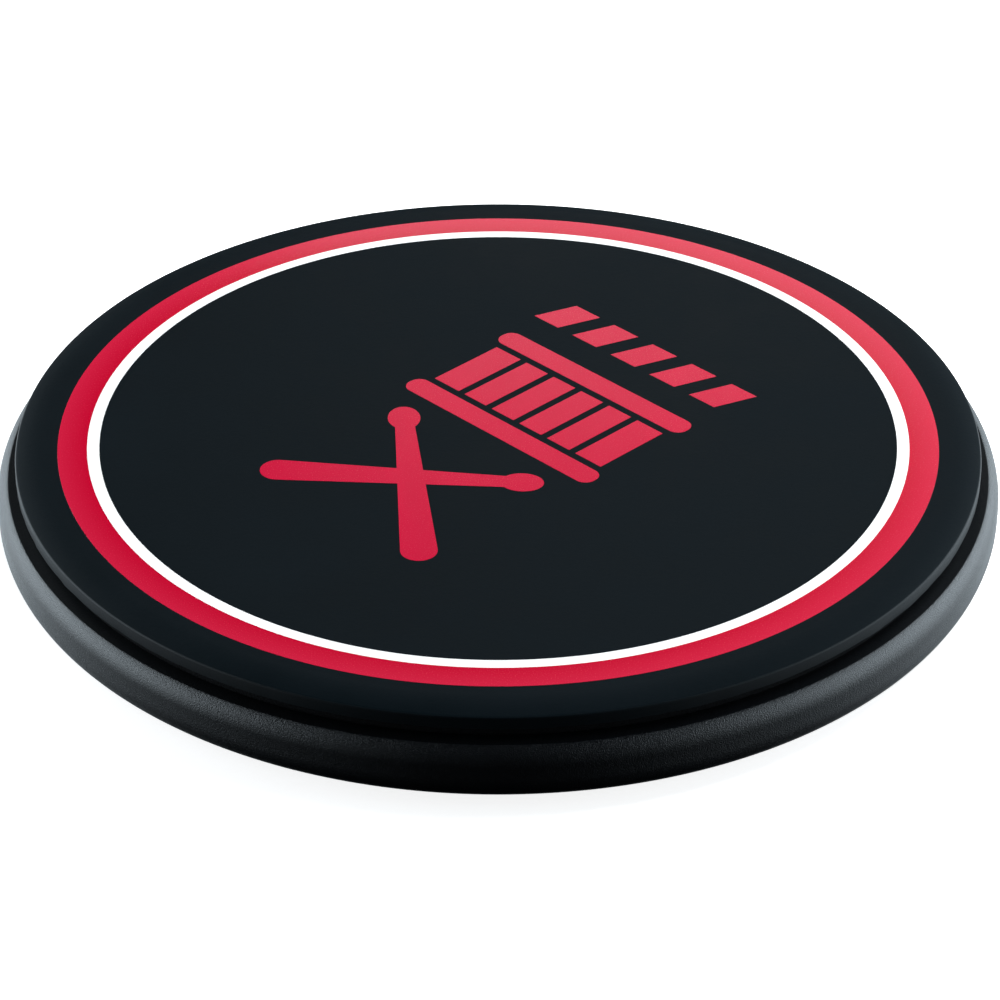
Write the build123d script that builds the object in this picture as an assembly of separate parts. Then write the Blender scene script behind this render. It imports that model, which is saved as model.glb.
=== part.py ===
from build123d import *
import math
import os

# A 12 inch drum practice pad: a lacquered board with a rounded rim, a foam damping layer,
# a rubber playing surface with printed decoration, a foam grip sheet underneath, and a
# threaded socket in the middle of the underside for a stand.
# Sizes are millimetres, +Z is up, and the origin is the centre of the face it stands on.

# --- Board ---------------------------------------------------------------------------
board_diameter = 304.8
board_thickness = 18.0
top_round_run = 3.3  # the rim's upper rounding, inwards from the widest line
top_round_drop = 5.4  # the same rounding, down from the top face
bottom_round_run = 4.8
bottom_round_drop = 8.3

# --- Playing surface and what lies under it ------------------------------------------
ledge_width = 2.6  # the flat of the board left bare around the playing surface
surface_thickness = 5.2
shoulder_run = 9.5  # the rubber's outer band slopes down over this width
shoulder_drop = 1.5
surface_edge_fillet = 0.4
damping_thickness = 3.0
damping_setback = 1.8  # how far the foam stays inside the rubber's edge
film_thickness = 0.25  # each sheet of double-sided adhesive film
film_setback = 0.5

# --- Grip sheet on the underside -----------------------------------------------------
grip_thickness = 3.0
grip_setback = 6.6  # inside the edge of the board's flat underside
grip_hole_margin = 8.0  # the hole's edge, outside the socket's flange

# --- Stand socket, M8, and its screws ------------------------------------------------
thread_core_radius = 3.4
barrel_radius = 5.0
barrel_length = 12.0
flange_radius = 15.0
flange_thickness = 2.0
thread_lead_in = 0.6
screw_count = 3
screw_shank_radius = 1.5
screw_head_radius = 2.9
screw_length = 11.0
screw_tip_length = 2.5
recess_length = 3.8  # the cross recess in each screw head
recess_width = 0.8
recess_depth = 0.9
screw_tip_radius = 0.4

# --- Printed decoration --------------------------------------------------------------
ink_thickness = 0.06
bare_band_width = 12.9  # unprinted rubber outside the red ring
red_ring_width = 8.9
white_ring_width = 3.7
upright_angle = 134.5  # where the decoration's own left-to-right points, from +X
motif_height = 10.0  # the motif's middle, from the pad's centre
drum_width = 80.0
drum_hoop_height = 8.0
drum_hoop_corner = 3.6
drum_shell_height = 27.0
drum_shell_inset = 4.0
drum_line_width = 2.6  # every bare line inside the drum
lug_line_count = 5
stick_length = 80.0
stick_tilt = 50.0
stick_butt_width = 11.0
stick_neck_width = 6.0
bead_length = 13.0
bead_width = 10.0
bead_neck_overlap = 2.5
bar_count = 5
bar_length = 10.5
bar_height = 14.0
bar_gap = 6.4
bar_slant = 5.0
bar_row_distance = 64.0

# --- Clearances ----------------------------------------------------------------------
barrel_clearance = 0.1
flange_clearance = 0.3
screw_clearance = 0.1
pilot_clearance = 0.03

# --- Levels and radii that follow from the sizes above -------------------------------
board_radius = board_diameter / 2
surface_radius = board_radius - top_round_run - ledge_width
damping_radius = surface_radius - damping_setback
film_radius = damping_radius - film_setback
flat_underside_radius = board_radius - bottom_round_run
grip_radius = flat_underside_radius - grip_setback
grip_hole_radius = flange_radius + grip_hole_margin
grip_film_radius = grip_radius - film_setback
red_ring_outer = surface_radius - bare_band_width
red_ring_inner = red_ring_outer - red_ring_width
white_ring_inner = red_ring_inner - white_ring_width
screw_circle_radius = (barrel_radius + flange_radius) / 2
screw_head_height = screw_head_radius - screw_shank_radius

board_bottom = grip_thickness + film_thickness
board_top = board_bottom + board_thickness
damping_bottom = board_top + film_thickness
damping_top = damping_bottom + damping_thickness
surface_bottom = damping_top + film_thickness
surface_top = surface_bottom + surface_thickness

FROM_BELOW = (Align.CENTER, Align.CENTER, Align.MIN)


def disc(radius, bottom, thickness):
    """A flat round plate or hole whose lower face is at the height bottom."""
    return Pos(0, 0, bottom) * Cylinder(radius, thickness, align=FROM_BELOW)


def ring(outer, inner, bottom, thickness):
    """A flat round plate with a round hole through its middle."""
    return disc(outer, bottom, thickness) - disc(inner, bottom, thickness)


def around_screw_circle(shape):
    """The shape, repeated evenly on the circle that the screws lie on."""
    places = PolarLocations(screw_circle_radius, screw_count)
    return [place * shape for place in places]


def board_blank():
    """The board before it is drilled: a disc with a rounded rim."""
    widest_low = board_bottom + bottom_round_drop
    widest_high = board_top - top_round_drop
    with BuildPart() as blank:
        with BuildSketch(Plane.XZ):
            with BuildLine():
                bottom = Line((0, board_bottom), (flat_underside_radius, board_bottom))
                top_edge = (board_radius - top_round_run, board_top)
                upper = TangentArc((board_radius, widest_high), top_edge, tangent=(0, 1))
                lower = TangentArc((board_radius, widest_low), bottom @ 1, tangent=(0, -1))
                Line(lower @ 0, upper @ 0)
                Polyline(upper @ 1, (0, board_top), (0, board_bottom))
            make_face()
        revolve(axis=Axis.Z)
    return blank.part


def base_board():
    """The board with the socket's stepped hole and the screws' pilot holes."""
    flange_seat = disc(flange_radius + flange_clearance, board_bottom, flange_thickness)
    barrel_hole = disc(barrel_radius + barrel_clearance, board_bottom, board_thickness)
    pilot = disc(screw_shank_radius + pilot_clearance, board_bottom, screw_length)
    board = board_blank() - flange_seat - barrel_hole
    for hole in around_screw_circle(pilot):
        board -= hole
    return board


def playing_surface():
    """The rubber disc: flat in the middle, with an outer band that slopes to its edge."""
    edge_top = surface_top - shoulder_drop
    flat_radius = surface_radius - shoulder_run
    with BuildPart() as surface:
        with BuildSketch(Plane.XZ):
            with BuildLine():
                shoulder = TangentArc(
                    (flat_radius, surface_top), (surface_radius, edge_top), tangent=(1, 0)
                )
                Polyline(
                    shoulder @ 1,
                    (surface_radius, surface_bottom),
                    (0, surface_bottom),
                    (0, surface_top),
                    shoulder @ 0,
                )
            make_face()
        revolve(axis=Axis.Z)
        rims = surface.edges().filter_by(GeomType.CIRCLE).group_by(SortBy.RADIUS)[-1]
        fillet(rims.sort_by(Axis.Z)[-1], surface_edge_fillet)
    return surface.part


def stand_socket():
    """The threaded barrel with its flange, which faces down, flush with the board."""
    socket = disc(flange_radius, board_bottom, flange_thickness)
    socket += disc(barrel_radius, board_bottom, flange_thickness + barrel_length)
    socket -= disc(thread_core_radius, board_bottom, flange_thickness + barrel_length)
    lowest_edges = socket.edges().group_by(Axis.Z)[0]
    mouth = lowest_edges.sort_by(SortBy.RADIUS)[0]
    socket = chamfer(mouth, thread_lead_in)
    for hole in around_screw_circle(screw_body(screw_clearance)):
        socket -= hole
    return socket


def screw_body(extra):
    """A countersunk screw with its head down, made larger all round by extra."""
    shank_length = screw_length - screw_tip_length
    shank = disc(screw_shank_radius + extra, board_bottom, shank_length)
    head = Pos(0, 0, board_bottom) * Cone(
        screw_head_radius + extra,
        screw_shank_radius + extra,
        screw_head_height,
        align=FROM_BELOW,
    )
    tip = Pos(0, 0, board_bottom + shank_length) * Cone(
        screw_shank_radius + extra, screw_tip_radius, screw_tip_length, align=FROM_BELOW
    )
    return shank + head + tip


def socket_screws():
    """The screws that hold the socket, each with a cross recess in its head."""
    slot = Pos(0, 0, board_bottom) * Box(recess_length, recess_width, 2 * recess_depth)
    screw = screw_body(0) - slot - Rot(0, 0, 90) * slot
    return Compound(children=around_screw_circle(screw))


def printed(outline):
    """A flat outline in the decoration's own upright frame, as a film of ink."""
    laid = Pos(0, 0, surface_top) * Rot(0, 0, upright_angle) * outline
    return extrude(laid, ink_thickness, dir=(0, 0, 1))


def drum_outline():
    """A side drum seen from the front: two hoops, and a shell crossed by lug lines."""
    shell_width = drum_width - 2 * drum_shell_inset
    hoop = RectangleRounded(drum_width, drum_hoop_height, drum_hoop_corner)
    hoop_offset = (drum_shell_height + drum_hoop_height) / 2 + drum_line_width
    shell = Rectangle(shell_width, drum_shell_height)
    pitch = shell_width / (lug_line_count + 1)
    for index in range(lug_line_count):
        place = (index - (lug_line_count - 1) / 2) * pitch
        shell -= Pos(place, 0) * Rectangle(drum_line_width, drum_shell_height)
    return [shell, Pos(0, hoop_offset) * hoop, Pos(0, -hoop_offset) * hoop]


def stick_outline():
    """One drumstick on its own axis, with its bead at the lower end."""
    half = stick_length / 2
    neck = bead_length - bead_neck_overlap - half
    shaft = Polygon(
        (-stick_butt_width / 2, half),
        (-stick_neck_width / 2, neck),
        (stick_neck_width / 2, neck),
        (stick_butt_width / 2, half),
        align=None,
    )
    butt = Pos(0, half) * Circle(stick_butt_width / 2)
    bead = Pos(0, bead_length / 2 - half) * Ellipse(bead_width / 2, bead_length / 2)
    return shaft + butt + bead


def drum_motif():
    """Two crossed sticks above a side drum."""
    drum_half = drum_shell_height / 2 + drum_line_width + drum_hoop_height
    reach = stick_length / 2 * math.cos(math.radians(stick_tilt))
    stick_half = reach + stick_butt_width / 2
    drum_middle = motif_height - stick_half
    stick_middle = drum_middle + drum_half + drum_line_width + stick_half
    crossed = Rot(0, 0, stick_tilt) * stick_outline() + Rot(0, 0, -stick_tilt) * stick_outline()
    pieces = [Pos(0, drum_middle) * piece for piece in drum_outline()]
    pieces.append(Pos(0, stick_middle) * crossed)
    return Compound(children=[printed(piece) for piece in pieces])


def accent_bars():
    """A row of plain slanted bars across the foot of the decoration."""
    half_length = bar_length / 2
    half_height = bar_height / 2
    bar = Polygon(
        (-half_length - bar_slant / 2, -half_height),
        (half_length - bar_slant / 2, -half_height),
        (half_length + bar_slant / 2, half_height),
        (-half_length + bar_slant / 2, half_height),
        align=None,
    )
    pitch = bar_length + bar_gap
    places = [(index - (bar_count - 1) / 2) * pitch for index in range(bar_count)]
    return Compound(children=[printed(Pos(x, -bar_row_distance) * bar) for x in places])


parts = {
    "playing_surface": playing_surface(),
    "red_ring_print": ring(red_ring_outer, red_ring_inner, surface_top, ink_thickness),
    "white_ring_print": ring(red_ring_inner, white_ring_inner, surface_top, ink_thickness),
    "drum_motif_print": drum_motif(),
    "accent_bars_print": accent_bars(),
    "surface_adhesive": disc(film_radius, damping_top, film_thickness),
    "damping_layer": disc(damping_radius, damping_bottom, damping_thickness),
    "damping_adhesive": disc(film_radius, board_top, film_thickness),
    "base_board": base_board(),
    "stand_socket": stand_socket(),
    "socket_screws": socket_screws(),
    "grip_adhesive": ring(
        grip_film_radius, grip_hole_radius + film_setback, grip_thickness, film_thickness
    ),
    "grip_sheet": ring(grip_radius, grip_hole_radius, 0, grip_thickness),
}

os.makedirs("parts", exist_ok=True)
for name, shape in parts.items():
    shape.label = name
    export_step(shape, f"parts/{name}.step")
    print(name, round(shape.volume, 1))
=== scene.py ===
# %% [markdown]
# # A drummer's practice pad
# The pad is a stack of round layers. From the top down these are a rubber playing surface
# with printed rings and a printed drum, a thin foam layer, a lacquered board with a
# rounded rim, and a foam grip sheet. A threaded socket sits in the middle underneath.
# Everything is in metres, and the engineering model is the fixed frame to build around.

# %% Load the frame
import math

import bmesh
import bpy
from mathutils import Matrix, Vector


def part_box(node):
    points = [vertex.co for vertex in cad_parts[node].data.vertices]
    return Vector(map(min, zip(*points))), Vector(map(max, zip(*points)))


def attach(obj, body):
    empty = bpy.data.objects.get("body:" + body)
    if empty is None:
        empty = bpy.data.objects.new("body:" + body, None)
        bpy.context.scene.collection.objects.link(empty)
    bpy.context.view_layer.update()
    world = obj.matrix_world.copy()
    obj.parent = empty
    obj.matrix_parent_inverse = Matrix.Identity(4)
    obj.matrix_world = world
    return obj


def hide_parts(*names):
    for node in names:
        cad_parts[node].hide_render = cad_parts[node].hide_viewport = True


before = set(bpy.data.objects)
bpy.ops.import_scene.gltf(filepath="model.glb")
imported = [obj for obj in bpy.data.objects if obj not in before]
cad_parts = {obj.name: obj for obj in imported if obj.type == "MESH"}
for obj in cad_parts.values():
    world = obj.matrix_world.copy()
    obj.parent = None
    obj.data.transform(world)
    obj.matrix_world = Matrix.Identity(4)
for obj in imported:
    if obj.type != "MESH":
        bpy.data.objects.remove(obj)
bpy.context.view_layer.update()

# %% [markdown]
# ## Levels and radii
# Each layer's height and radius is read from the frame, so the looks follow the
# engineering model. Only what a box can't tell, such as how a rim is rounded, is named
# here. Working this way means that no piece ever has to be nudged into place.

# %% Read the layers
MM = 0.001
FULL_TURN = 2 * math.pi


def levels(node):
    """The lowest and highest level of a layer, and its radius."""
    low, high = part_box(node)
    return low[2], high[2], high[0]


BOARD_LOW, BOARD_HIGH, BOARD_RADIUS = levels("base_board")
RUBBER_LOW, RUBBER_HIGH, RUBBER_RADIUS = levels("playing_surface")
FOAM_LOW, FOAM_HIGH, FOAM_RADIUS = levels("damping_layer")
GRIP_LOW, GRIP_HIGH, GRIP_RADIUS = levels("grip_sheet")
INK_LOW, INK_HIGH, RED_RADIUS = levels("red_ring_print")
WHITE_RADIUS = levels("white_ring_print")[2]
SOCKET_LOW, SOCKET_HIGH, FLANGE_RADIUS = levels("stand_socket")
INK_WHITE_WIDTH = 3.7 * MM
GRIP_HOLE_RADIUS = 23.0 * MM
print("the rubber is", round((RUBBER_HIGH - RUBBER_LOW) / MM, 2), "mm thick")

# %% [markdown]
# ## Tools for turned pieces
# Every layer is round, so each is made as a potter or a wood turner would make it: draw
# half of its outline as a row of points, and spin the outline round the middle. A plane is
# added and merged to one point, and each extrude draws the next point. Spinning leaves a
# doubled seam, so doubles are merged, and the normals are recalculated to face outwards.

# %% Draw and spin an outline
ROUND_STEPS = 288
SEAM_GAP = 0.001 * MM


def draw_outline(name, points):
    """A chain of points in the XZ plane, left in edit mode. Points are (radius, height)."""
    bpy.ops.object.select_all(action="DESELECT")
    bpy.ops.mesh.primitive_plane_add(size=MM, location=(0, 0, 0))
    piece = bpy.context.object
    piece.name = name
    piece.data.name = name
    bpy.ops.object.mode_set(mode="EDIT")
    bpy.ops.mesh.select_mode(type="VERT")
    bpy.ops.mesh.select_all(action="SELECT")
    bpy.ops.mesh.merge(type="CENTER")
    at = Vector((points[0][0], 0, points[0][1]))
    bpy.ops.transform.translate(value=at)
    for radius, height in points[1:]:
        step = Vector((radius, 0, height)) - at
        bpy.ops.mesh.extrude_region_move(TRANSFORM_OT_translate={"value": step})
        at += step
    return piece


def spin_outline(steps=ROUND_STEPS):
    """Spins the outline that is being edited once round the Z axis, and closes its seam."""
    bpy.ops.mesh.select_all(action="SELECT")
    bpy.ops.mesh.spin(steps=steps, angle=FULL_TURN, center=(0, 0, 0), axis=(0, 0, 1))
    bpy.ops.mesh.select_all(action="SELECT")
    bpy.ops.mesh.remove_doubles(threshold=SEAM_GAP)
    bpy.ops.mesh.normals_make_consistent(inside=False)


def close_piece(piece, smooth_angle=35):
    """Leaves edit mode, and shades the piece smooth except across sharp edges."""
    bpy.ops.object.mode_set(mode="OBJECT")
    bpy.ops.object.shade_smooth_by_angle(angle=math.radians(smooth_angle))
    print(piece.name, "has", len(piece.data.polygons), "faces")
    return piece


def arc(centre, radius, start, end, steps):
    """Points on an arc from one angle to another, in degrees."""
    turns = [math.radians(start + (end - start) * i / steps) for i in range(steps + 1)]
    return [(centre[0] + radius * math.cos(t), centre[1] + radius * math.sin(t)) for t in turns]


def turn(name, points, steps=ROUND_STEPS):
    """A finished turned piece from its outline."""
    piece = draw_outline(name, points)
    spin_outline(steps)
    return close_piece(piece)


def place(piece, node):
    """The piece rides with the pad, and stands for a part of the frame, which is hidden."""
    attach(piece, "root")
    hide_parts(node)


# %% [markdown]
# ## Tools for finishes
# A finish is a Principled shader with a few textures on it. Textures read Object
# coordinates, which are real metres here, so a grain of half a millimetre has a scale of
# 2000. Plain numbers are set on the shader itself, and only what varies gets a node.

# %% Build materials
def finish_named(name, colour, roughness, **sockets):
    """A new material, with its shader's plain numbers set."""
    finish = bpy.data.materials.new(name)
    finish.use_nodes = True
    shader = finish.node_tree.nodes["Principled BSDF"]
    shader.inputs["Base Color"].default_value = (*colour, 1)
    shader.inputs["Roughness"].default_value = roughness
    for socket, value in sockets.items():
        shader.inputs[socket.replace("_", " ")].default_value = value
    return finish


def texture(finish, kind, scale, stretch=(1, 1, 1), **settings):
    """A texture node on Object coordinates, with features about 1/scale metres wide."""
    nodes = finish.node_tree.nodes
    links = finish.node_tree.links
    place_in = nodes.new("ShaderNodeTexCoord")
    mapping = nodes.new("ShaderNodeMapping")
    mapping.inputs["Scale"].default_value = stretch
    node = nodes.new(kind)
    node.inputs["Scale"].default_value = scale
    for socket, value in settings.items():
        node.inputs[socket].default_value = value
    links.new(place_in.outputs["Object"], mapping.inputs["Vector"])
    links.new(mapping.outputs["Vector"], node.inputs["Vector"])
    return node.outputs[0]


def spread(finish, value, low, high, from_low=0.3, from_high=0.7):
    """Maps a texture's value onto a range of roughness or strength."""
    node = finish.node_tree.nodes.new("ShaderNodeMapRange")
    for socket, number in zip(range(1, 5), (from_low, from_high, low, high)):
        node.inputs[socket].default_value = number
    finish.node_tree.links.new(value, node.inputs[0])
    return node.outputs[0]


def colour_between(finish, value, first, second):
    """A colour that a texture's value slides between two others."""
    node = finish.node_tree.nodes.new("ShaderNodeMix")
    node.data_type = "RGBA"
    node.inputs["A"].default_value = (*first, 1)
    node.inputs["B"].default_value = (*second, 1)
    finish.node_tree.links.new(value, node.inputs["Factor"])
    return node.outputs["Result"]


def drive(finish, value, socket):
    """Connects a value to one of the shader's sockets."""
    shader = finish.node_tree.nodes["Principled BSDF"]
    finish.node_tree.links.new(value, shader.inputs[socket])


def bumps(finish, layers):
    """Stacks bump nodes: each layer is a texture's value and its height in metres."""
    normal = None
    for value, height in layers:
        node = finish.node_tree.nodes.new("ShaderNodeBump")
        node.inputs["Distance"].default_value = height
        finish.node_tree.links.new(value, node.inputs["Height"])
        if normal:
            finish.node_tree.links.new(normal, node.inputs["Normal"])
        normal = node.outputs["Normal"]
    drive(finish, normal, "Normal")


def distance_out(finish):
    """How far each point of a piece lies from the Z axis."""
    nodes, links = finish.node_tree.nodes, finish.node_tree.links
    place_in = nodes.new("ShaderNodeTexCoord")
    flatten = nodes.new("ShaderNodeVectorMath")
    flatten.operation = "MULTIPLY"
    flatten.inputs[1].default_value = (1, 1, 0)
    reach = nodes.new("ShaderNodeVectorMath")
    reach.operation = "LENGTH"
    links.new(place_in.outputs["Object"], flatten.inputs[0])
    links.new(flatten.outputs[0], reach.inputs[0])
    return reach.outputs["Value"]


def wear(piece, finish):
    """Gives a piece one finish all over."""
    piece.data.materials.clear()
    piece.data.materials.append(finish)


def wear_where(piece, finish, wanted):
    """Gives a second finish to the faces whose middle and normal pass a test."""
    piece.data.materials.append(finish)
    for face in piece.data.polygons:
        if wanted(face.center, face.normal):
            face.material_index = len(piece.data.materials) - 1


# %% [markdown]
# ## Camera
# The pad is seen from in front and above, with a long lens that keeps its circles nearly
# free of perspective. The camera stands a little over a metre away, is pitched down, and
# aims at the playing surface just in front of its middle.

# %% Set the camera
RING_UNIT = RED_RADIUS
CAMERA_PITCH = math.radians(32.877)
CAMERA_DISTANCE = 8.9537 * RING_UNIT
AIM = Vector((0.00404 * RING_UNIT, -0.28867 * RING_UNIT, INK_LOW))
LENS_MM, SENSOR_MM = 145.33, 36
NEAREST_SEEN = 10 * MM

back = Vector((0, -math.cos(CAMERA_PITCH), math.sin(CAMERA_PITCH)))
bpy.ops.object.camera_add(location=AIM + back * CAMERA_DISTANCE)
camera = bpy.context.object
camera.rotation_euler = (math.pi / 2 - CAMERA_PITCH, 0, 0)
camera.data.lens = LENS_MM
camera.data.sensor_width = SENSOR_MM
camera.data.clip_start = NEAREST_SEEN
bpy.context.scene.camera = camera
print("the camera is", round(CAMERA_DISTANCE, 3), "m from its aim")

# %% [markdown]
# ## Floor
# The floor is a pale sheet that glows by itself, so it looks white with no lamp pointed at
# it. It takes the pad's faint shadow but is kept out of reflections, bounced light and
# shadows of its own, because a white floor seen in a black rim would turn it grey.

# %% Lay the floor
FLOOR_SIZE = 8.0
FLOOR_GAP = 0.05 * MM
FLOOR_GLOW = 0.85
bpy.ops.object.select_all(action="DESELECT")
bpy.ops.mesh.primitive_plane_add(size=FLOOR_SIZE, location=(0, 0, -FLOOR_GAP))
floor = bpy.context.object
floor.name = "studio_floor"
floor.visible_glossy = False
floor.visible_diffuse = False
floor.visible_shadow = False
floor_finish = finish_named("pale_floor", (0.9, 0.9, 0.9), 0.9)
floor_shader = floor_finish.node_tree.nodes["Principled BSDF"]
floor_shader.inputs["Emission Color"].default_value = (1, 1, 1, 1)
floor_shader.inputs["Emission Strength"].default_value = FLOOR_GLOW
wear(floor, floor_finish)
print("the floor is", FLOOR_SIZE, "m across")

# %% [markdown]
# ## Lights
# Black objects are drawn by what they reflect. Two large cool soft boxes, right and left,
# put a thin line along the rubber's edge and a bright band on the board's rim. The satin
# rim needs more of that light than the matt top, which would turn pale, so each box has a
# twin just behind it that lights the board alone, by light linking. A small box at the back
# catches the far edge. The inks get their colour from a fill that hangs overhead and is
# kept out of the reflections, so that it brightens the red and leaves the rubber deep.

# %% Hang the lights
COOL_LIGHT = (0.80, 0.92, 1.0)
BOX_DISTANCE = 1.7
RIM_BOX_DISTANCE = 1.8
BOX_HEIGHT = 1.35
RIGHT_BOX_WIDTH, LEFT_BOX_WIDTH = 2.7, 2.6
SIDE_RADIANCE = 1.65
RIGHT_RIM_RADIANCE, LEFT_RIM_RADIANCE = 2.65, 2.35
TO_RIGHT, TO_LEFT = (0.90, 0.30, 0.40), (-0.90, 0.33, 0.40)
TO_BACK, TO_FILL = (0.075, 0.88, 0.45), (0.36, 0.22, 0.68)
BACK_BOX_SIZE, BACK_RADIANCE = (0.58, 0.22), 3.0
FILL_DISTANCE, FILL_SIZE, FILL_RADIANCE = 1.28, (0.8, 0.8), 10.0


def soft_box(name, direction, distance, size, radiance):
    """A large area light that faces the pad from a direction."""
    away = Vector(direction).normalized()
    bpy.ops.object.light_add(type="AREA", location=away * distance)
    lamp = bpy.context.object
    lamp.name = name
    lamp.data.shape = "RECTANGLE"
    lamp.data.size, lamp.data.size_y = size
    lamp.data.energy = radiance * math.pi * size[0] * size[1]
    lamp.rotation_euler = away.to_track_quat("Z", "Y").to_euler()
    return lamp


def side_box(name, direction, width, radiance):
    """A cool soft box at one side."""
    lamp = soft_box(name, direction, BOX_DISTANCE, (width, BOX_HEIGHT), radiance)
    lamp.data.color = COOL_LIGHT
    return lamp


def rim_box(name, direction, width, radiance):
    """A side box's twin, further away and just as large from where the pad is."""
    growth = RIM_BOX_DISTANCE / BOX_DISTANCE
    size = (width * growth, BOX_HEIGHT * growth)
    lamp = soft_box(name, direction, RIM_BOX_DISTANCE, size, radiance)
    lamp.data.color = COOL_LIGHT
    return lamp


def light_only(lamp, pieces):
    """Lets a lamp light these pieces and nothing else."""
    receivers = bpy.data.collections.new(lamp.name + "_receivers")
    for piece in pieces:
        receivers.objects.link(piece)
    lamp.light_linking.receiver_collection = receivers


side_box("box_right", TO_RIGHT, RIGHT_BOX_WIDTH, SIDE_RADIANCE)
side_box("box_left", TO_LEFT, LEFT_BOX_WIDTH, SIDE_RADIANCE)
rim_boxes = [
    rim_box("rim_box_right", TO_RIGHT, RIGHT_BOX_WIDTH, RIGHT_RIM_RADIANCE),
    rim_box("rim_box_left", TO_LEFT, LEFT_BOX_WIDTH, LEFT_RIM_RADIANCE),
]
soft_box("box_back", TO_BACK, BOX_DISTANCE, BACK_BOX_SIZE, BACK_RADIANCE)
fill = soft_box("box_fill", TO_FILL, FILL_DISTANCE, FILL_SIZE, FILL_RADIANCE)
fill.visible_glossy = False
fill.visible_camera = False

# %% [markdown]
# ## Surroundings
# What the rim mirrors between the lights is the sky, so the sky is drawn as light and dark
# zones instead of one even grey. It is dark in front and overhead. Low down it glows like a
# pale table that is brightest at the back and dimmer at the left, and two wings of light
# stand at the sides. Each zone is a product of smooth ramps, and a ramp goes by how far a
# direction points right, back or up, from -1 to 1.

# %% Shade the sky
world = bpy.data.worlds.new("studio")
bpy.context.scene.world = world
world.use_nodes = True
sky = world.node_tree
sky_direction = sky.nodes.new("ShaderNodeTexCoord")
split = sky.nodes.new("ShaderNodeSeparateXYZ")
sky.links.new(sky_direction.outputs["Generated"], split.inputs[0])
rightwards, backwards, upwards = split.outputs


def combine(operation, first, second=None):
    """Adds or multiplies two amounts of light, or takes one amount's size."""
    node = sky.nodes.new("ShaderNodeMath")
    node.operation = operation
    sky.links.new(first, node.inputs[0])
    if second:
        sky.links.new(second, node.inputs[1])
    return node.outputs[0]


def fade(value, start, end, from_light, to_light):
    """A smooth ramp of light along one part of the sky's direction."""
    node = sky.nodes.new("ShaderNodeMapRange")
    node.interpolation_type = "SMOOTHSTEP"
    for socket, number in zip(range(1, 5), (start, end, from_light, to_light)):
        node.inputs[socket].default_value = number
    sky.links.new(value, node.inputs[0])
    return node.outputs[0]


def zone(ramps):
    """One zone of the sky: the product of its ramps."""
    light = ramps[0]
    for ramp in ramps[1:]:
        light = combine("MULTIPLY", light, ramp)
    return light


table = zone([
    fade(backwards, -0.9, 0.8, 0, 1),
    fade(backwards, -1.6, 0.9, 0, 1.6),
    fade(upwards, -0.85, -0.42, 0, 1),
    fade(rightwards, -0.85, -0.5, 0.45, 1),
    fade(upwards, -0.45, -0.25, 1, 0),
])
wings = zone([
    fade(backwards, -1.0, 0.2, 0, 1.9),
    fade(combine("ABSOLUTE", rightwards), 0.25, 0.6, 0, 1),
    fade(upwards, -0.5, -0.25, 0, 1),
    fade(upwards, 0.2, 0.45, 1, 0),
])
backdrop = sky.nodes["Background"]
backdrop.inputs["Color"].default_value = (*COOL_LIGHT, 1)
sky.links.new(combine("ADD", table, wings), backdrop.inputs["Strength"])
bpy.context.scene.view_settings.view_transform = "Standard"
print("the sky is made of", len(sky.nodes), "nodes")

# %% [markdown]
# ## The rubber playing surface
# A moulded disc that is flat under the prints and falls gently away over its outer band.
# The fall is an arc that starts level, so no crease shows where it begins. It could be a
# cylinder with its edge bevelled, but a bevel gives a straight slope. The upper edge is
# barely rounded, and the lower edge is left a little ragged, as a die cuts rubber.

# %% Turn the rubber disc
SHOULDER_RUN = 9.5 * MM
SHOULDER_DROP = 1.5 * MM
RUBBER_EDGE_ROUND = 0.4 * MM
CUT_WOBBLE = 0.15 * MM
CUT_SEED = 7


def select_ring(piece, radius, height, slack=0.02 * MM):
    """Selects the edges of one round rim, by their place."""
    bpy.ops.mesh.select_all(action="DESELECT")
    bpy.ops.mesh.select_mode(type="EDGE")
    mesh = bmesh.from_edit_mesh(piece.data)
    for edge in mesh.edges:
        ends = [(v.co.xy.length - radius, v.co.z - height) for v in edge.verts]
        edge.select = all(abs(r) < slack and abs(z) < slack for r, z in ends)
    mesh.select_flush_mode()
    bmesh.update_edit_mesh(piece.data)


def round_ring(piece, radius, height, amount, segments=4):
    """Bevels one round rim."""
    select_ring(piece, radius, height)
    bpy.ops.mesh.bevel(offset=amount, segments=segments, affect="EDGES", clamp_overlap=True)


def rubber_disc():
    """The playing surface, with its sloping band and rounded upper edge."""
    flat = RUBBER_RADIUS - SHOULDER_RUN
    bend = (SHOULDER_RUN**2 + SHOULDER_DROP**2) / (2 * SHOULDER_DROP)
    sweep = math.degrees(math.asin(SHOULDER_RUN / bend))
    band = arc((flat, RUBBER_HIGH - bend), bend, 90, 90 - sweep, 10)
    outline = [(0, RUBBER_HIGH), (WHITE_RADIUS, RUBBER_HIGH), *band]
    outline += [(RUBBER_RADIUS, RUBBER_LOW), (0, RUBBER_LOW)]
    piece = draw_outline("rubber_disc", outline)
    spin_outline()
    round_ring(piece, RUBBER_RADIUS, RUBBER_HIGH - SHOULDER_DROP, RUBBER_EDGE_ROUND)
    select_ring(piece, RUBBER_RADIUS, RUBBER_LOW)
    bpy.ops.transform.vertex_random(offset=CUT_WOBBLE, seed=CUT_SEED)
    return close_piece(piece)


rubber = rubber_disc()
place(rubber, "playing_surface")

# %% [markdown]
# ### The rubber's finish
# Moulded rubber is nearly black and never quite even. A fine grain breaks up the shine, a
# broad faint cloudiness changes its colour and roughness from place to place, and it is
# less reflective than paint, so its specular level is lowered. The side was cut by a die
# and is smoother and shinier than the moulded top, so those faces, chosen by their place
# and normal, get a second finish.

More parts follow.
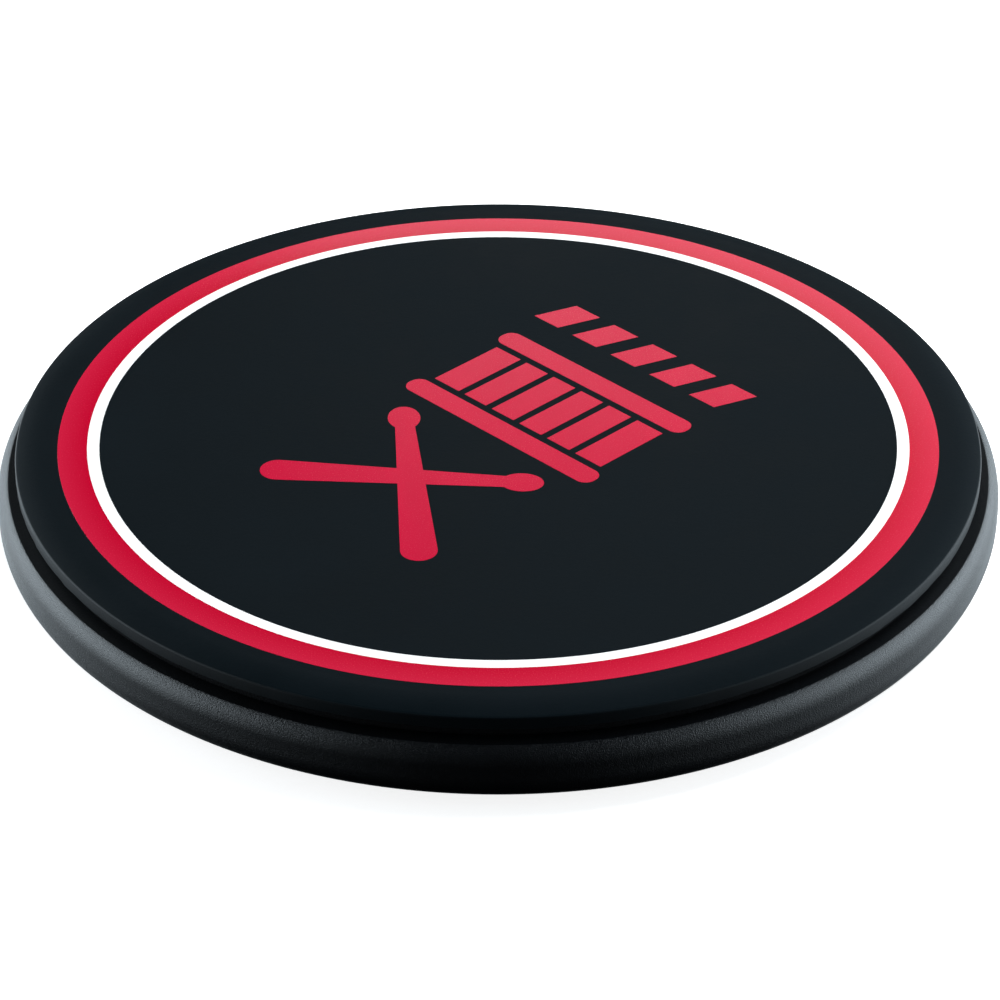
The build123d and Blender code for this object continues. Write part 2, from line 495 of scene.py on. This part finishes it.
# %% Finish the rubber
CLOUD_SCALE, PEBBLE_SCALE, GRAIN_SCALE = 22, 650, 2600
PEBBLE_HEIGHT, GRAIN_HEIGHT = 0.03 * MM, 0.02 * MM
RUBBER_BLACK, CUT_BLACK = (0.0022, 0.0050, 0.0070), (0.0022, 0.0048, 0.0066)
RUBBER_DARKEST, RUBBER_PALEST = (0.0018, 0.0043, 0.0060), (0.0027, 0.0056, 0.0078)
NEARLY_LEVEL = 0.94


def moulded_rubber():
    """Cloudy, finely pebbled rubber with little shine."""
    finish = finish_named("playing_rubber", RUBBER_BLACK, 0.5, Specular_IOR_Level=0.09)
    cloud = texture(finish, "ShaderNodeTexNoise", CLOUD_SCALE, Detail=5, Roughness=0.6)
    grain = texture(finish, "ShaderNodeTexNoise", GRAIN_SCALE, Detail=3)
    pebble = texture(finish, "ShaderNodeTexNoise", PEBBLE_SCALE, Detail=2)
    drive(finish, spread(finish, cloud, 0.46, 0.56), "Roughness")
    tone = colour_between(finish, spread(finish, cloud, 0, 1), RUBBER_DARKEST, RUBBER_PALEST)
    drive(finish, tone, "Base Color")
    bumps(finish, [(pebble, PEBBLE_HEIGHT), (grain, GRAIN_HEIGHT)])
    return finish


def cut_rubber():
    """The smoother, shinier rubber of the cut side."""
    finish = finish_named("cut_rubber", CUT_BLACK, 0.45, Specular_IOR_Level=0.28)
    grain = texture(finish, "ShaderNodeTexNoise", GRAIN_SCALE, Detail=3)
    drive(finish, spread(finish, grain, 0.38, 0.50), "Roughness")
    bumps(finish, [(grain, GRAIN_HEIGHT)])
    return finish


def on_cut_side(middle, normal):
    """Whether a face belongs to the rubber's side or its rounded upper edge."""
    outermost = middle.xy.length > RUBBER_RADIUS - RUBBER_EDGE_ROUND
    return outermost and abs(normal.z) < NEARLY_LEVEL


wear(rubber, moulded_rubber())
wear_where(rubber, cut_rubber(), on_cut_side)
print("the rubber wears", [m.name for m in rubber.data.materials])

# %% [markdown]
# ## The printed rings
# Screen-printed ink lies on the rubber as a thin film. Each ring is a turned strip with
# its two upper corners softened, so that it catches light as a real film does. Both could
# be painted on with a texture, but then their edges would be only as sharp as the image.

# %% Turn the two rings
INK_CORNER = 0.02 * MM


def ink_ring(name, inner, outer):
    """A flat strip of ink between two radii."""
    corners = [(inner, INK_LOW), (inner, INK_HIGH - INK_CORNER), (inner + INK_CORNER, INK_HIGH)]
    corners += [(outer - INK_CORNER, INK_HIGH), (outer, INK_HIGH - INK_CORNER), (outer, INK_LOW)]
    return turn(name, [*corners, corners[0]])


red_ring = ink_ring("red_ring_ink", WHITE_RADIUS, RED_RADIUS)
white_ring = ink_ring("white_ring_ink", WHITE_RADIUS - INK_WHITE_WIDTH, WHITE_RADIUS)
place(red_ring, "red_ring_print")
place(white_ring, "white_ring_print")

# %% [markdown]
# ### The inks
# Both inks are smooth and slightly satin. They have a faint unevenness from the squeegee,
# stretched along one direction, and follow a little of the rubber's grain. The red ring is
# printed a little thinner towards its outer edge, so its colour slides from deep to light
# with the distance from the middle. That distance is worked out by nodes, not painted.

# %% Mix the inks
INK_ROUGHNESS = 0.22
PULL_SCALE, PULL_STRETCH = 60, (1, 0.15, 1)
INK_GRAIN_HEIGHT = 0.008 * MM
RED_THIN, RED_THICK = (0.480, 0.0005, 0.030), (0.515, 0.0015, 0.034)
RING_DEEP, RING_LIGHT = (0.475, 0.0001, 0.022), (0.545, 0.010, 0.042)
WHITE_THIN, WHITE_THICK = (0.94, 0.94, 0.94), (0.97, 0.97, 0.97)


def ink(name, thin, thick, roughness):
    """A printed ink that varies between a thin and a thick pass."""
    finish = finish_named(name, thick, roughness, Specular_IOR_Level=0.21)
    pull = texture(finish, "ShaderNodeTexNoise", PULL_SCALE, stretch=PULL_STRETCH, Detail=4)
    grain = texture(finish, "ShaderNodeTexNoise", GRAIN_SCALE, Detail=2)
    drive(finish, colour_between(finish, spread(finish, pull, 0, 1), thin, thick), "Base Color")
    drive(finish, spread(finish, grain, roughness - 0.05, roughness + 0.07), "Roughness")
    bumps(finish, [(grain, INK_GRAIN_HEIGHT)])
    return finish


def ring_ink(name, inner, outer, deep, light):
    """The red ink, a little thinner and lighter towards the ring's outer edge."""
    finish = ink(name, deep, deep, INK_ROUGHNESS)
    across = spread(finish, distance_out(finish), 0, 1, inner, outer)
    drive(finish, colour_between(finish, across, deep, light), "Base Color")
    return finish


red_ink = ink("red_ink", RED_THIN, RED_THICK, INK_ROUGHNESS)
white_ink = ink("white_ink", WHITE_THIN, WHITE_THICK, INK_ROUGHNESS)
red_ring_ink = ring_ink("red_ring_ink", WHITE_RADIUS, RED_RADIUS, RING_DEEP, RING_LIGHT)
wear(red_ring, red_ring_ink)
wear(white_ring, white_ink)
for print_node in ("drum_motif_print", "accent_bars_print"):
    wear(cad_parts[print_node], red_ink)
print("the inks are", [f.name for f in (red_ink, white_ink, red_ring_ink)])

# %% [markdown]
# ## The foam damping layer
# Between the rubber and the board is a thin foam sheet, set back under the rubber's edge.
# Only its cut side shows, in deep shadow. Pressed between two flat faces, foam bulges a
# little at the side, so its outline is a shallow arc.

# %% Turn the foam layer
FOAM_BULGE = 0.25 * MM


def bulged_side(radius, low, high, bulge, steps=6):
    """Points down a cut foam edge that swells outwards in its middle."""
    points = []
    for i in range(steps + 1):
        share = i / steps
        swell = bulge * math.sin(math.pi * share)
        points.append((radius - bulge + swell, high + (low - high) * share))
    return points


foam = turn(
    "foam_layer",
    [(0, FOAM_HIGH), *bulged_side(FOAM_RADIUS, FOAM_LOW, FOAM_HIGH, FOAM_BULGE), (0, FOAM_LOW)],
)
place(foam, "damping_layer")

# %% [markdown]
# ### Foam finishes
# Closed-cell foam is matt and full of tiny cells. A Voronoi texture makes the cells, and
# bump gives them depth. The damping foam is black, and darker still, as painted shade of
# the groove under the rubber. The grip sheet uses the same recipe with coarser, paler cells.

# %% Finish the foams
# The damping foam's near-black is its own black, darkened further as painted shade of the groove.
DAMPING_BLACK_AND_SHADE, DAMPING_CELLS, DAMPING_DEPTH = (0.004, 0.004, 0.005), 2200, 0.10 * MM
FOAM_TONE_SCALE = 90


def foam_finish(name, colour, cell_scale, depth):
    """Closed-cell foam with cells about 1/cell_scale metres across."""
    finish = finish_named(name, colour, 0.85, Specular_IOR_Level=0.25)
    cells = texture(finish, "ShaderNodeTexVoronoi", cell_scale)
    tone = texture(finish, "ShaderNodeTexNoise", FOAM_TONE_SCALE, Detail=3)
    darker = tuple(c * 0.7 for c in colour)
    drive(finish, colour_between(finish, spread(finish, tone, 0, 1), darker, colour), "Base Color")
    drive(finish, spread(finish, cells, 0.78, 0.95, 0, 0.6), "Roughness")
    bumps(finish, [(cells, depth)])
    return finish


wear(foam, foam_finish("damping_foam", DAMPING_BLACK_AND_SHADE, DAMPING_CELLS, DAMPING_DEPTH))
print("the foam's cells are about", round(1 / DAMPING_CELLS / MM, 2), "mm across")

# %% [markdown]
# ## Drilling
# The board and the socket both have three screw holes on one circle. A hole is cut as a
# drill cuts it: a turned piece in the shape of the hole is moved to each screw's place and
# taken away from the solid with a Boolean modifier. Then the drill itself is thrown away.

# %% Make a drill
SCREW_CIRCLE = 10.0 * MM
SCREW_COUNT = 3
DRILL_STEPS = 32


def carve(piece, cutter):
    """Cuts one piece's shape out of another."""
    bpy.ops.object.select_all(action="DESELECT")
    piece.select_set(True)
    bpy.context.view_layer.objects.active = piece
    bpy.ops.object.modifier_add(type="BOOLEAN")
    cut = piece.modifiers[-1]
    cut.object = cutter
    cut.solver = "EXACT"
    bpy.ops.object.modifier_apply(modifier=cut.name)


def throw_away(cutter):
    """Removes a cutter when it has done its work."""
    bpy.ops.object.select_all(action="DESELECT")
    cutter.select_set(True)
    bpy.ops.object.delete()


def drill_screw_holes(piece, outline):
    """Drills a hole with this outline at each of the screws' places."""
    drill = turn("drill", outline, steps=DRILL_STEPS)
    for i in range(SCREW_COUNT):
        around = FULL_TURN * i / SCREW_COUNT
        drill.location = (SCREW_CIRCLE * math.cos(around), SCREW_CIRCLE * math.sin(around), 0)
        carve(piece, drill)
    throw_away(drill)


print("there are", SCREW_COUNT, "screws, on a circle", round(2 * SCREW_CIRCLE / MM), "mm across")

# %% [markdown]
# ## The board
# The board is cut from fibreboard and its rim is rounded with two cutters: a small radius
# above and a larger one below, meeting in a short upright band. The upper radius starts
# at a crease, which draws the sharp line between the dark ledge and the bright rim. In
# the middle of the underside is a stepped hole for the socket.

# %% Turn the board
TOP_RUN, TOP_DROP = 3.3 * MM, 5.4 * MM
BOTTOM_RUN, BOTTOM_DROP = 4.8 * MM, 8.3 * MM
CREASE_ROUND = 0.25 * MM
HEEL_ROUND = 0.5 * MM
BARREL_HOLE = 5.1 * MM
FLANGE_SEAT = FLANGE_RADIUS + 0.3 * MM
FLANGE_THICKNESS = 2.0 * MM
SCREW_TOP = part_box("socket_screws")[1][2]
PILOT_RADIUS = 1.53 * MM


def rim_arc(run, drop, widest, upwards, steps):
    """An arc that leaves the rim's upright band and ends run inwards and drop away."""
    bend = (run**2 + drop**2) / (2 * run)
    sweep = math.degrees(math.asin(drop / bend))
    centre = (BOARD_RADIUS - bend, widest)
    return arc(centre, bend, 0, sweep if upwards else -sweep, steps)


def rim_board():
    """The lacquered board with its rounded rim and the socket's stepped hole."""
    lower = rim_arc(BOTTOM_RUN, BOTTOM_DROP, BOARD_LOW + BOTTOM_DROP, False, 14)
    upper = rim_arc(TOP_RUN, TOP_DROP, BOARD_HIGH - TOP_DROP, True, 12)
    outline = [(FLANGE_SEAT, BOARD_LOW), *reversed(lower), *upper]
    outline += [(BARREL_HOLE, BOARD_HIGH), (BARREL_HOLE, BOARD_LOW + FLANGE_THICKNESS)]
    outline += [(FLANGE_SEAT, BOARD_LOW + FLANGE_THICKNESS), (FLANGE_SEAT, BOARD_LOW)]
    piece = draw_outline("rim_board", outline)
    spin_outline()
    round_ring(piece, BOARD_RADIUS - TOP_RUN, BOARD_HIGH, CREASE_ROUND, segments=3)
    round_ring(piece, BOARD_RADIUS - BOTTOM_RUN, BOARD_LOW, HEEL_ROUND, segments=3)
    bpy.ops.object.mode_set(mode="OBJECT")
    below = BOARD_LOW - MM
    drill = [(0, below), (PILOT_RADIUS, below), (PILOT_RADIUS, SCREW_TOP), (0, SCREW_TOP)]
    drill_screw_holes(piece, drill)
    return close_piece(piece, smooth_angle=25)


board = rim_board()
place(board, "base_board")
for lamp in rim_boxes:
    light_only(lamp, [board])

# %% [markdown]
# ### The lacquer
# Sprayed black lacquer is satin, with a slight orange peel and fine specks of dust and
# sanding marks, which show only where a light is reflected. The flat top, which the foam
# is glued to, gets a darker matt black, as painted shade for its narrow ledge in the rubber's shadow
# beside the rim.

# %% Spray the lacquer
# The flat top's black is darker than the lacquer's, as painted shade for the ledge in the rubber's
# shadow.
LACQUER_BLACK, LEDGE_SHADE_BLACK = (0.0018, 0.0022, 0.0030), (0.0010, 0.0013, 0.0018)
PEEL_SCALE, PEEL_HEIGHT = 1100, 0.03 * MM
SPECK_SCALE, SPECK_HEIGHT = 2800, 0.18 * MM
LEDGE_GRAIN_SCALE, LEDGE_GRAIN_HEIGHT = 1500, 0.05 * MM
TOP_SLACK, LEVEL = 0.01 * MM, 0.99


def satin_lacquer():
    """Black lacquer with orange peel and specks."""
    finish = finish_named("black_lacquer", LACQUER_BLACK, 0.32, Specular_IOR_Level=0.5)
    peel = texture(finish, "ShaderNodeTexNoise", PEEL_SCALE, Detail=2)
    specks = texture(finish, "ShaderNodeTexNoise", SPECK_SCALE, Detail=2, Roughness=0.6)
    drive(finish, spread(finish, specks, 0.27, 0.37), "Roughness")
    bumps(finish, [(peel, PEEL_HEIGHT), (specks, SPECK_HEIGHT)])
    return finish


def shaded_ledge_finish():
    """A rough black with hardly any shine, darker than the lacquer as painted shade."""
    finish = finish_named("ledge_painted_shade", LEDGE_SHADE_BLACK, 0.5, Specular_IOR_Level=0.12)
    grain = texture(finish, "ShaderNodeTexNoise", LEDGE_GRAIN_SCALE, Detail=3)
    drive(finish, spread(finish, grain, 0.45, 0.6), "Roughness")
    bumps(finish, [(grain, LEDGE_GRAIN_HEIGHT)])
    return finish


def on_flat_top(middle, normal):
    """Whether a face is on the board's flat top, which gets the painted shade of the ledge."""
    return middle.z > BOARD_HIGH - TOP_SLACK and normal.z > LEVEL


wear(board, satin_lacquer())
wear_where(board, shaded_ledge_finish(), on_flat_top)
print("the board wears", [m.name for m in board.data.materials])

# %% [markdown]
# ## The grip sheet
# A ring of soft foam with a hole round the socket keeps the pad from sliding. Its edges
# are slightly rounded where the die has cut them.

# %% Turn the grip sheet
GRIP_EDGE_ROUND = 0.5 * MM
GRIP_GREY, GRIP_CELLS, GRIP_DEPTH = (0.018, 0.018, 0.020), 1700, 0.14 * MM


def grip_ring():
    """The foam ring under the board."""
    corners = [(GRIP_HOLE_RADIUS, GRIP_LOW), (GRIP_RADIUS, GRIP_LOW)]
    corners += [(GRIP_RADIUS, GRIP_HIGH), (GRIP_HOLE_RADIUS, GRIP_HIGH)]
    piece = draw_outline("grip_foam", [*corners, corners[0]])
    spin_outline()
    for radius in (GRIP_HOLE_RADIUS, GRIP_RADIUS):
        round_ring(piece, radius, GRIP_LOW, GRIP_EDGE_ROUND)
    return close_piece(piece)


grip = grip_ring()
place(grip, "grip_sheet")
wear(grip, foam_finish("grip_foam", GRIP_GREY, GRIP_CELLS, GRIP_DEPTH))

# %% [markdown]
# ## The tap
# The stand's stud screws into a real thread. It could be faked with a striped bump, but
# seen from below the grooves would look painted on. So a tap is made: one small triangle,
# swept up a helix by a Screw modifier, with its two open ends filled.

# %% Make a tap
BORE_RADIUS = 3.4 * MM
THREAD_PITCH = 1.25 * MM
THREAD_DEPTH = 0.55 * MM
THREAD_ROOT = 0.12 * MM
THREAD_HALF_WIDTH = 0.44 * THREAD_PITCH
TAP_STEPS = 48


def thread_tap():
    """The helix that cuts the thread: a triangle swept with a screw modifier."""
    inside, outside = BORE_RADIUS - THREAD_ROOT, BORE_RADIUS + THREAD_DEPTH
    start = SOCKET_LOW - THREAD_PITCH
    triangle = [(inside, start - THREAD_HALF_WIDTH), (outside, start)]
    triangle += [(inside, start + THREAD_HALF_WIDTH)]
    tap = draw_outline("tap", [*triangle, triangle[0]])
    bpy.ops.mesh.select_all(action="SELECT")
    bpy.ops.mesh.remove_doubles(threshold=SEAM_GAP)
    bpy.ops.mesh.select_all(action="SELECT")
    bpy.ops.mesh.edge_face_add()
    bpy.ops.object.mode_set(mode="OBJECT")
    bpy.ops.object.modifier_add(type="SCREW")
    sweep = tap.modifiers[-1]
    sweep.axis = "Z"
    sweep.screw_offset = THREAD_PITCH
    sweep.iterations = math.ceil((SOCKET_HIGH - SOCKET_LOW) / THREAD_PITCH) + 2
    sweep.steps = TAP_STEPS
    sweep.render_steps = TAP_STEPS
    sweep.use_merge_vertices = False
    bpy.ops.object.modifier_apply(modifier=sweep.name)
    bpy.ops.object.mode_set(mode="EDIT")
    bpy.ops.mesh.select_mode(type="EDGE")
    bpy.ops.mesh.select_all(action="DESELECT")
    bpy.ops.mesh.select_non_manifold()
    bpy.ops.mesh.edge_face_add()
    bpy.ops.mesh.select_all(action="SELECT")
    bpy.ops.mesh.normals_make_consistent(inside=False)
    return close_piece(tap)


print("the thread's pitch is", THREAD_PITCH / MM, "mm")

# %% [markdown]
# ## The threaded socket
# The socket is a turned barrel with a flange that faces down. Its screw holes are
# countersunk by a drill with a cone on its shank, and its bore is carved with the tap.

# %% Turn and tap the socket
BORE_MOUTH = 0.6 * MM
BARREL_RADIUS = 5.0 * MM
TURNED_EDGE = 0.3 * MM
SOCKET_STEPS = 128
SHANK_HOLE = 1.6 * MM
HEAD_HOLE = 3.0 * MM


def threaded_socket():
    """The flanged barrel, drilled and tapped."""
    flange_top = SOCKET_LOW + FLANGE_THICKNESS
    outline = [(BORE_RADIUS + BORE_MOUTH, SOCKET_LOW), (FLANGE_RADIUS, SOCKET_LOW)]
    outline += [(FLANGE_RADIUS, flange_top), (BARREL_RADIUS, flange_top)]
    outline += [(BARREL_RADIUS, SOCKET_HIGH), (BORE_RADIUS, SOCKET_HIGH)]
    outline += [(BORE_RADIUS, SOCKET_LOW + BORE_MOUTH), outline[0]]
    piece = draw_outline("threaded_socket", outline)
    spin_outline(steps=SOCKET_STEPS)
    round_ring(piece, FLANGE_RADIUS, SOCKET_LOW, TURNED_EDGE)
    round_ring(piece, BARREL_RADIUS, SOCKET_HIGH, TURNED_EDGE)
    bpy.ops.object.mode_set(mode="OBJECT")
    below = SOCKET_LOW - MM
    head = [(0, below), (HEAD_HOLE + MM, below), (SHANK_HOLE, SOCKET_LOW + HEAD_HOLE - SHANK_HOLE)]
    drill_screw_holes(piece, [*head, (SHANK_HOLE, flange_top + MM), (0, flange_top + MM)])
    tap = thread_tap()
    carve(piece, tap)
    throw_away(tap)
    bpy.context.view_layer.objects.active = piece
    return close_piece(piece)


socket = threaded_socket()
place(socket, "stand_socket")

# %% [markdown]
# ## Zinc plate and adhesive films
# The screws and the films have the right shape in the frame already, so they stay and get
# a better finish. The metal is zinc plating over steel with a cloudy bloom, and the films
# are black tape. The socket was turned on a lathe, so its bump is a noise that depends
# only on the distance from the axis, which makes fine rings. The screws were formed in a
# press, and have a plain grain.

# %% Finish the small parts
ZINC_GREY, ZINC_DULL, ZINC_BRIGHT = (0.62, 0.64, 0.67), (0.56, 0.57, 0.58), (0.68, 0.70, 0.74)
BLOOM_SCALE = 500
TURNING_SCALE, TURNING_HEIGHT = 5000, 0.02 * MM
STAMPING_SCALE, STAMPING_HEIGHT = 3000, 0.01 * MM
TAPE_BLACK, TAPE_DULL, TAPE_BRIGHT = (0.005, 0.005, 0.006), (0.004, 0.004, 0.005), (0.007, 0.007, 0.008)
TAPE_TONE_SCALE = 140


def zinc_plate(name):
    """Zinc plating with a cloudy bloom, before any machining marks."""
    finish = finish_named(name, ZINC_GREY, 0.32, Metallic=1.0)
    bloom = texture(finish, "ShaderNodeTexNoise", BLOOM_SCALE, Detail=6)
    drive(finish, spread(finish, bloom, 0.24, 0.42), "Roughness")
    cloud = spread(finish, bloom, 0, 1)
    drive(finish, colour_between(finish, cloud, ZINC_DULL, ZINC_BRIGHT), "Base Color")
    return finish


def turning_marks(finish, marks_per_metre):
    """Fine rings round the Z axis, as a lathe tool leaves them."""
    rings = finish.node_tree.nodes.new("ShaderNodeTexNoise")
    rings.noise_dimensions = "1D"
    rings.inputs["Scale"].default_value = marks_per_metre
    finish.node_tree.links.new(distance_out(finish), rings.inputs["W"])
    return rings.outputs[0]


turned_zinc = zinc_plate("turned_zinc")
bumps(turned_zinc, [(turning_marks(turned_zinc, TURNING_SCALE), TURNING_HEIGHT)])
wear(socket, turned_zinc)

stamped_zinc = zinc_plate("stamped_zinc")
stamp_grain = texture(stamped_zinc, "ShaderNodeTexNoise", STAMPING_SCALE, Detail=2)
bumps(stamped_zinc, [(stamp_grain, STAMPING_HEIGHT)])
wear(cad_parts["socket_screws"], stamped_zinc)

tape = finish_named("adhesive_film", TAPE_BLACK, 0.4)
tape_tone = texture(tape, "ShaderNodeTexNoise", TAPE_TONE_SCALE, Detail=3)
tape_amount = spread(tape, tape_tone, 0, 1)
drive(tape, colour_between(tape, tape_amount, TAPE_DULL, TAPE_BRIGHT), "Base Color")
for film_node in ("surface_adhesive", "damping_adhesive", "grip_adhesive"):
    wear(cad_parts[film_node], tape)
print("the small parts wear", [f.name for f in (turned_zinc, stamped_zinc, tape)])
